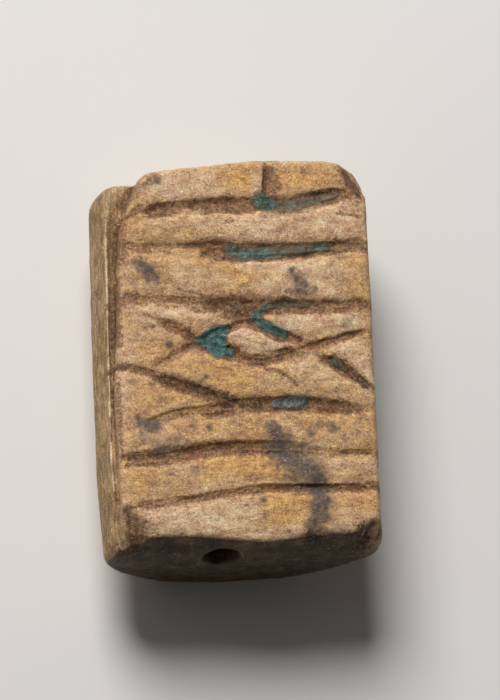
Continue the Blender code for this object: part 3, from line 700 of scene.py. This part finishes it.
def paint(mesh, name, values):
    layer = mesh.attributes.new(name, "FLOAT", "POINT")
    layer.data.foreach_set("value", np.clip(values, 0, 1).astype(np.float32))


def areaPaint(survey, name):
    areas, raggedness, edges, softness, shown = areasPainted[name]
    strengths = paintedAreas(survey.places, areas, raggedness * getattr(survey, edges), softness)
    return strengths * getattr(survey, shown)


def glazePaint(survey):  # how much glaze there is, and its tone
    places = survey.places
    even, toned = paints["glazeShares"]
    glaze = np.zeros(len(places))
    tone = np.zeros(len(places))
    for route, hue in glazeLeft:
        reach = routeReach(places, route) + paints["glazeRagged"] * survey.ragged
        reach = softStep(reach, *paints["glaze"]) * survey.face * (even + toned * hue)
        tone = np.where(reach > glaze, hue, tone)
        glaze = np.maximum(glaze, reach)
    return glaze, tone


def groovePaint(survey, ledge):  # dirt in the groove under the face
    groove = paints["grooveDirt"] * ledge * softStep(survey.bulge, *paints["grooveHollow"])
    groove *= 1 - paints["grooveWorn"] * survey.rounded
    groove *= softStep(survey.nearSlab, *paints["grooveRim"])
    lower = softStep(-survey.places[:, 1], *paints["grooveLower"])
    return groove * (1 - paints["grooveClean"] * lower)


def endShadePaint(survey):  # painted shade over the lower end and in the string hole
    x, y, z = survey.places.T
    lowerEnd = softStep(-survey.normals[:, 1], *paints["lowerEnd"])
    lowerEnd *= y < paints["lowerEndReach"] - halfLength
    litCorner = softStep(x, *paints["litAcross"]) * softStep(z, *paints["litHeight"])
    fromBore = np.hypot(x - stringHole["across"], z - stringHole["height"])
    inBore = 1 - softStep(fromBore, *stringHole["paintedShade"])
    return np.maximum(lowerEnd * (1 - paints["litUnshaded"] * litCorner), inBore)


def painted(thing, survey):
    mesh, face, bulge = thing.data, survey.face, survey.bulge
    glaze, tone = glazePaint(survey)
    ledge = survey.aboveLedge * (1 - face)
    carved = softStep(survey.depth, *paints["carved"]) * survey.inRim
    shade = softStep(survey.shadedWall, *paints["shadedWall"]) * (1 - survey.faded)
    pitDirt = np.clip(survey.pits / paints["pitFull"], 0, 1) * paints["pitDirt"]
    dirtAndShadow = np.maximum(areaPaint(survey, "dirtAndShadow"), groovePaint(survey, ledge))
    paint(mesh, "face", face)
    # the carved paint also takes the brown bands, among them the painted shade along the face's left
    # edge
    paint(mesh, "carved", np.maximum(carved, areaPaint(survey, "bands")))
    paint(mesh, "shadedWall", shade * survey.inRim)
    paint(mesh, "glaze", glaze)
    paint(mesh, "glazeTone", tone)
    for name in ("stain", "ochre", "pale", "rust"):
        paint(mesh, name, areaPaint(survey, name))
    paint(mesh, "dirtAndShadow", np.maximum(dirtAndShadow, pitDirt))
    paint(mesh, "rubbed", softStep(bulge, *paints["rubbed"]))
    paint(mesh, "paintedEndShade", endShadePaint(survey))
    # a painted highlight along the worn ridge of the ledge
    paint(mesh, "ridge", ledge * softStep(bulge, *paints["ridge"]) * (1 - survey.rounded))


# Shader tools


def feed(tree, socket, value):
    if isinstance(value, bpy.types.NodeSocket):
        tree.links.new(value, socket)
    else:
        socket.default_value = value


def addNode(tree, kind, given, **settings):  # a node with its settings, and what its sockets are given
    node = tree.nodes.new("ShaderNode" + kind)
    for name, value in settings.items():
        setattr(node, name, value)
    for socket, value in given.items():
        feed(tree, node.inputs[socket], value)
    return node


def mathNode(tree, operation, first, second):
    return addNode(tree, "Math", {0: first, 1: second}, operation=operation).outputs[0]


def vectorNode(tree, operation, *values):
    return addNode(tree, "VectorMath", dict(enumerate(values)), operation=operation).outputs[0]


def scaled(tree, vector, factor):
    return addNode(tree, "VectorMath", {0: vector, "Scale": factor}, operation="SCALE").outputs[0]


def ranged(tree, value, start, end, low=0.0, high=1.0):
    given = dict(enumerate((value, start, end, low, high)))
    return addNode(tree, "MapRange", given, interpolation_type="SMOOTHSTEP").outputs["Result"]


def mixed(tree, amount, first, second, blend="MIX"):
    given = {0: amount, 6: first, 7: second}
    return addNode(tree, "Mix", given, data_type="RGBA", blend_type=blend).outputs[2]


def mixedNumber(tree, amount, first, second):
    return addNode(tree, "Mix", {0: amount, 2: first, 3: second}, data_type="FLOAT").outputs[0]


def colour(red, green, blue):  # a colour as seen on screen, 0 to 255
    return tuple((part / 255) ** 2.2 for part in (red, green, blue)) + (1.0,)


def newGroup(name, inputs, outputs):  # a node group with its sockets: name, kind and first value
    group = bpy.data.node_groups.new(name, "ShaderNodeTree")
    for way, sockets in (("INPUT", inputs), ("OUTPUT", outputs)):
        for title, kind, *first in sockets:
            socket = group.interface.new_socket(name=title, in_out=way, socket_type="NodeSocket" + kind)
            if first:
                socket.default_value = first[0]
    return group, group.nodes.new("NodeGroupInput").outputs, group.nodes.new("NodeGroupOutput").inputs


def stretchedNoise(group, given, detail, roughness):  # of the group's own size and stretch
    return addNode(group, "TexNoise", {
        "Vector": vectorNode(group, "DIVIDE", given["Place"], given["Stretch"]),
        "Scale": mathNode(group, "DIVIDE", 1.0, given["Size"]),
        "Detail": detail,
        "Roughness": roughness,
    }).outputs


# Effects that the stone's finishes share


def speckGroup():  # single grains: a share of the cells of a size, each an uneven spot of its own width
    group, given, result = newGroup(
        "specks",
        [("Place", "Vector"), ("Size", "Float", 0.1), ("Share", "Float", 0.2)],
        [("Spots", "Float")],
    )
    perSize = mathNode(group, "DIVIDE", 1.0, given["Size"])
    warpScale = mathNode(group, "MULTIPLY", perSize, 2.2)
    warp = addNode(group, "TexNoise", {"Vector": given["Place"], "Scale": warpScale})
    centred = vectorNode(group, "SUBTRACT", warp.outputs["Color"], (0.5, 0.5, 0.5))
    shift = scaled(group, centred, mathNode(group, "MULTIPLY", given["Size"], 1.2))
    where = vectorNode(group, "ADD", given["Place"], shift)
    cells = addNode(group, "TexVoronoi", {"Vector": where, "Scale": perSize}, feature="F1")
    pick = addNode(group, "SeparateColor", {0: cells.outputs["Color"]})
    chosen = mathNode(group, "LESS_THAN", pick.outputs[0], given["Share"])
    width = mathNode(group, "ADD", 0.22, mathNode(group, "MULTIPLY", pick.outputs[1], 0.4))
    spot = ranged(group, cells.outputs["Distance"], width, mathNode(group, "MULTIPLY", width, 0.35))
    feed(group, result["Spots"], mathNode(group, "MULTIPLY", chosen, spot))
    return group


def patchGroup():  # cloudy patches of a size, stretched across or along
    group, given, result = newGroup(
        "patches",
        [("Place", "Vector"), ("Size", "Float", 1.0), ("Stretch", "Vector", (1, 1, 1)),
         ("Contrast", "Float", 0.2)],
        [("Patches", "Float")],
    )
    clouds = stretchedNoise(group, given, 4.0, 0.62)
    low = mathNode(group, "SUBTRACT", 0.5, given["Contrast"])
    high = mathNode(group, "ADD", 0.5, given["Contrast"])
    feed(group, result["Patches"], ranged(group, clouds[0], low, high))
    return group


def grainGroup():  # light and dark grains of slightly different colours laid over a colour
    group, given, result = newGroup(
        "grain",
        [("Place", "Vector"), ("Colour", "Color"), ("Size", "Float", 0.1),
         ("Stretch", "Vector", (1, 1, 1)), ("Strength", "Float", 0.5), ("Hue", "Float", 0.3)],
        [("Colour", "Color")],
    )
    grains = stretchedNoise(group, given, 2.0, 0.7)
    apart = addNode(group, "SeparateColor", {0: grains["Color"]})
    paler = mathNode(group, "MULTIPLY", mathNode(group, "SUBTRACT", apart.outputs[2], 0.5), given["Hue"])
    hued = vectorNode(group, "ADD", grains["Fac"], scaled(group, (0.0, 0.05, 1.0), paler))
    strong = vectorNode(group, "MULTIPLY_ADD", hued, (3.4, 3.4, 3.4), (-1.2, -1.2, -1.2))
    feed(group, result["Colour"], mixed(group, given["Strength"], given["Colour"], strong, "OVERLAY"))
    return group


# The finish of the stone and the glaze, with its painted shade and highlights

finish = {
    "tan": (182, 142, 94),
    "pinkish": (200, 160, 122),
    "pale": (220, 187, 150),
    "ochre": (206, 154, 88),
    "rust": (146, 92, 52),
    "side": (166, 134, 86),
    "sideDark": (126, 98, 58),
    "darkGrain": (96, 72, 50),
    # light grains, and the painted highlight on the ridge
    "lightGrainAndHighlight": (240, 218, 190),
    "carvedBrown": (104, 72, 44),
    "carvedRed": (116, 68, 42),
    "wallBrown": (86, 57, 31),
    # dark dirt, also the painted shadow in the lower right chip
    "dirtAndShadow": (62, 42, 26),
    # painted shade of the lower end and the string hole
    "paintedEndShade": (42, 30, 20),
    "stain": (104, 88, 74),
    "stainDark": (64, 55, 52),
    "glazeTones": [  # place on the ramp, and colour
        (0.0, (92, 92, 72)),
        (0.33, (78, 100, 84)),
        (0.55, (46, 102, 102)),
        (1.0, (96, 98, 94)),
    ],
    "glazeDark": (40, 54, 48),
    "stoneRoughness": (0.6, 0.16, 0.15),  # even, with the grain, and with the dirt
    "glazeRoughness": 0.4,
    "bumpStrength": 0.9,
    "bumpHeight": 0.022,  # millimetres
}


def stoneMaterial():
    material = bpy.data.materials.new("glazedStone")
    material.use_nodes = True
    tree = material.node_tree
    shader = tree.nodes["Principled BSDF"]
    specks, patches, grain = speckGroup(), patchGroup(), grainGroup()
    where = addNode(tree, "TexCoord", {}).outputs["Object"]
    inMillimetres = {"Vector": where, "Scale": (1 / mm,) * 3}
    place = addNode(tree, "Mapping", inMillimetres, vector_type="POINT").outputs[0]

    def tint(name):
        return colour(*finish[name])

    def mask(name):
        return addNode(tree, "Attribute", {}, attribute_name=name).outputs["Fac"]

    def placed(group, where, **values):  # a shared effect with its own values
        return addNode(tree, "Group", {"Place": where, **values}, node_tree=group).outputs[0]

    def speckle(size, share, shift=0.0):
        where = vectorNode(tree, "ADD", place, (shift, shift * 0.7, shift * 1.3))
        return placed(specks, where, Size=size, Share=share)

    def clouds(size, contrast, stretch=(1, 1, 1)):
        return placed(patches, place, Size=size, Stretch=stretch, Contrast=contrast)

    def grained(below, size, strength, hue, stretch=(1, 1, 1)):
        return placed(grain, place, Colour=below, Size=size, Stretch=stretch, Strength=strength, Hue=hue)

    def times(first, second):
        return mathNode(tree, "MULTIPLY", first, second)

    def plus(first, second):
        return mathNode(tree, "ADD", first, second)

    def minus(first, second):
        return mathNode(tree, "SUBTRACT", first, second)

    def layered(below, layers):  # colours laid over one another: where, how strongly and which
        for where, strength, name in layers:
            below = mixed(tree, times(where, strength), below, tint(name))
        return below

    face, dirtAndShadow, glaze, tone = mask("face"), mask("dirtAndShadow"), mask("glaze"), mask("glazeTone")

    # bare stone of the face: broad colours, then its hues in small patches
    bare = mixed(tree, clouds(1.6, 0.16, (2.2, 1, 1)), tint("tan"), tint("pinkish"))
    bare = layered(bare, [
        (clouds(1.0, 0.12, (2.4, 1, 1)), 0.45, "ochre"),
        (mask("ochre"), 0.8, "ochre"),
        (mask("pale"), 0.75, "pale"),
        (clouds(0.45, 0.1, (2.0, 1, 1)), 0.22, "rust"),
        (mask("rust"), 0.6, "rust"),
    ])
    bare = grained(bare, 0.5, 0.26, 0.24, (1.6, 1, 1))
    bare = grained(bare, 0.2, 0.21, 0.1, (1.2, 1, 1))

    # the sides, streaked along their length, with a painted highlight along their worn ridge
    streaks = clouds(0.12, 0.16, (1, 9, 1))
    flank = layered(tint("side"), [
        (streaks, 0.65, "sideDark"),
        (clouds(1.1, 0.1, (1, 1.6, 1)), 0.5, "pinkish"),
        (clouds(0.5, 0.08, (1, 1.8, 1)), 0.3, "wallBrown"),
    ])
    flank = grained(flank, 0.14, 0.34, 0.3, (1, 4, 1))
    ridgeHighlight = times(mask("ridge"), clouds(0.4, 0.08, (1, 2, 1)))
    flank = layered(flank, [(ridgeHighlight, 0.7, "lightGrainAndHighlight")])
    ground = layered(mixed(tree, face, flank, bare), [(mask("rubbed"), 0.18, "pale")])

    # brown in the cut lines, with painted shade under their upper lips, on the walls that face away from
    # the lamp
    brown = mixed(tree, clouds(0.5, 0.12, (2, 1, 1)), tint("carvedBrown"), tint("carvedRed"))
    brown = layered(brown, [
        (clouds(0.26, 0.1), 0.45, "wallBrown"),
        (clouds(0.33, 0.08, (1.6, 1, 1)), 0.25, "tan"),
    ])
    brown = grained(brown, 0.16, 0.6, 0.15)
    brownEdge = plus(mask("carved"), times(minus(clouds(0.12, 0.2), 0.5), 0.5))
    ground = mixed(tree, ranged(tree, brownEdge, 0.0, 0.9, 0.0, 0.9), ground, brown)
    # painted shade on the walls that face away from the lamp
    wallEdge = times(mask("shadedWall"), plus(0.45, clouds(0.11, 0.2)))
    ground = mixed(tree, ranged(tree, wallEdge, 0.1, 1.1, 0.0, 0.15), ground, tint("wallBrown"))

    # purple-grey stains, and dark dirt with a painted shadow in the lower right chip, both mottled
    stainEdge = times(mask("stain"), plus(0.65, times(clouds(0.2, 0.2), 0.7)))
    stainTone = mixed(tree, clouds(0.3, 0.12), tint("stain"), tint("stainDark"))
    ground = mixed(tree, ranged(tree, stainEdge, 0.05, 0.95, 0.0, 0.95), ground, stainTone)
    dirtEdge = times(dirtAndShadow, plus(0.45, clouds(0.14, 0.16)))
    ground = mixed(tree, ranged(tree, dirtEdge, 0.1, 1.0, 0.0, 0.88), ground, tint("dirtAndShadow"))
    # painted shade over the lower end and in the string hole, mottled
    paintedShade = plus(0.7, times(clouds(0.8, 0.15), 0.25))
    ground = layered(ground, [(mask("paintedEndShade"), paintedShade, "paintedEndShade")])

    # grain over all of it
    darkGrains, dirtSpots = speckle(0.11, 0.1), speckle(0.26, 0.05, 9.0)
    ground = grained(ground, 0.1, 0.24, 0.04)
    ground = grained(ground, 0.05, 0.24, 0.0)
    ground = layered(ground, [
        (darkGrains, 0.42, "darkGrain"),
        (speckle(0.08, 0.14, 4.0), 0.36, "lightGrainAndHighlight"),
        (dirtSpots, 0.5, "dirtAndShadow"),
    ])

    # what is left of the glaze, broken at its edges and worn through in spots
    ramp = addNode(tree, "ValToRGB", {0: tone})
    for position, shade in finish["glazeTones"][1:-1]:
        ramp.color_ramp.elements.new(position)
    for element, (position, shade) in zip(ramp.color_ramp.elements, finish["glazeTones"]):
        element.color = colour(*shade)
    glazeTone = layered(ramp.outputs[0], [(clouds(0.24, 0.12), 0.75, "glazeDark")])
    glazeTone = grained(glazeTone, 0.13, 0.55, 0.35)
    glazeTone = grained(glazeTone, 0.05, 0.24, 0.2)
    dullest = minus(0.58, tone)  # dull glaze is thin
    glazeTone = layered(glazeTone, [
        (speckle(0.09, 0.06, 2.0), 0.3, "lightGrainAndHighlight"),
        (clouds(0.36, 0.1), dullest, "wallBrown"),
    ])
    broken = minus(glaze, times(clouds(0.14, 0.2), 0.42))
    glazed = ranged(tree, broken, -0.2, 0.85, 0.0, 0.96)
    rim = ranged(tree, glaze, 0.0, 0.3, 0.0, 0.65)  # dark brown where the glaze breaks off
    ground = mixed(tree, rim, ground, tint("wallBrown"))
    feed(tree, shader.inputs["Base Color"], mixed(tree, glazed, ground, glazeTone))

    # gloss: dull stone, duller dirt, and a little shine on the glaze
    fineGrain = clouds(0.07, 0.2)
    even, withGrain, withDirt = finish["stoneRoughness"]
    matt = plus(plus(even, times(fineGrain, withGrain)), times(dirtAndShadow, withDirt))
    feed(tree, shader.inputs["Roughness"], mixedNumber(tree, glazed, matt, finish["glazeRoughness"]))

    # fine relief of the grain
    height = plus(times(fineGrain, 0.55), times(clouds(0.19, 0.2, (1.3, 1, 1)), 0.45))
    height = minus(minus(height, times(dirtSpots, 0.7)), times(darkGrains, 0.4))
    sideHeight = plus(times(streaks, 0.8), times(fineGrain, 0.35))
    bump = addNode(tree, "Bump", {
        "Strength": finish["bumpStrength"],
        "Distance": finish["bumpHeight"] * mm,
        "Height": mixedNumber(tree, face, sideHeight, height),
    })
    feed(tree, shader.inputs["Normal"], bump.outputs[0])
    return material


# The bead itself


def makeBead():
    thing, tree = copyInMillimetres(cadBead)
    depths = lookDown(tree)
    print("carving surveyed")
    remade(thing)
    survey = surveyed(thing, depths)
    survey.depth = wornDepth(survey)
    worn(thing, survey)
    print("stone worn")
    painted(thing, survey)
    thinned(thing)
    thing.data.transform(Matrix.Scale(mm, 4))
    thing.data.shade_smooth()
    thing.data.materials.append(stoneMaterial())
    print("stone painted")
    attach(thing, "root")
    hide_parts("bead")


# Floor and light

studio = {
    "floorSize": 0.6,
    "floorTone": colour(226, 223, 218),
    "floorRoughness": 0.85,
    "keyFrom": (*lampSide, 1.15),
    "keyDistance": 0.3,
    "keySize": 0.16,
    "keyPower": 1.03,
    "fillFrom": (-1.0, 0.4, 0.9),
    "fillDistance": 0.4,
    "fillSize": 0.25,
    "fillPower": 0.09,
    "skyTone": (0.92, 0.91, 0.9, 1.0),
    "skyStrength": 0.08,
}


def makeFloor():
    mesh = bpy.data.meshes.new("floor")
    bm = bmesh.new()
    bmesh.ops.create_grid(bm, x_segments=4, y_segments=4, size=studio["floorSize"] / 2)
    bm.to_mesh(mesh)
    bm.free()
    material = bpy.data.materials.new("paleFloor")
    material.use_nodes = True
    shader = material.node_tree.nodes["Principled BSDF"]
    shader.inputs["Base Color"].default_value = studio["floorTone"]
    shader.inputs["Roughness"].default_value = studio["floorRoughness"]
    mesh.materials.append(material)
    floor = added("floor", mesh)


def makeLight(name):
    light = bpy.data.lights.new(name + "Light", "AREA")
    light.shape = "DISK"
    light.size = studio[name + "Size"]
    light.energy = studio[name + "Power"]
    lamp = added(name + "Light", light)
    towards = Vector(studio[name + "From"]).normalized()
    lamp.location = towards * studio[name + "Distance"]
    lamp.rotation_euler = towards.to_track_quat("Z", "Y").to_euler()


def makeSky():
    world = bpy.data.worlds.new("studioSky")
    world.use_nodes = True
    background = world.node_tree.nodes["Background"]
    background.inputs["Color"].default_value = studio["skyTone"]
    background.inputs["Strength"].default_value = studio["skyStrength"]
    bpy.context.scene.world = world


# The photograph was taken from a little to the left and a little below the face

view = {
    "left": radians(12.5),
    "below": radians(17.0),
    "roll": radians(0.5),
    "lens": 300.0,
    "sensor": 36.0,
    "nearest": 0.01,
    "pixelsHigh": 700,
    "pixelsPerMillimetre": 23.0,
    "shiftRight": 0.26,
    "shiftUp": 0.06,
}


def makeCamera():
    left, below, roll = view["left"], view["below"], view["roll"]
    back = Vector((-sin(left), -sin(below) * cos(left), cos(below) * cos(left)))
    levelRight = Vector((cos(left), -sin(left) * sin(below), sin(left) * cos(below)))
    levelUp = Vector((0, cos(below), sin(below)))
    right = levelRight * cos(roll) - levelUp * sin(roll)
    up = levelRight * sin(roll) + levelUp * cos(roll)
    camera = bpy.data.cameras.new("photoCamera")
    camera.lens = view["lens"]
    camera.sensor_width = view["sensor"]
    camera.clip_start = view["nearest"]
    seenHeight = view["pixelsHigh"] / view["pixelsPerMillimetre"] * mm
    distance = camera.lens / camera.sensor_width * seenHeight
    target = Vector((0, 0, faceLevel)) + right * view["shiftRight"] + up * view["shiftUp"]
    holder = added("photoCamera", camera)
    turned = Matrix((right, up, back)).transposed().to_4x4()
    holder.matrix_world = Matrix.Translation(target * mm + back * distance) @ turned
    bpy.context.scene.camera = holder


makeBead()
makeFloor()
makeLight("key")
makeLight("fill")
makeSky()
makeCamera()
bpy.context.scene.view_settings.view_transform = "Standard"
print("studio set")
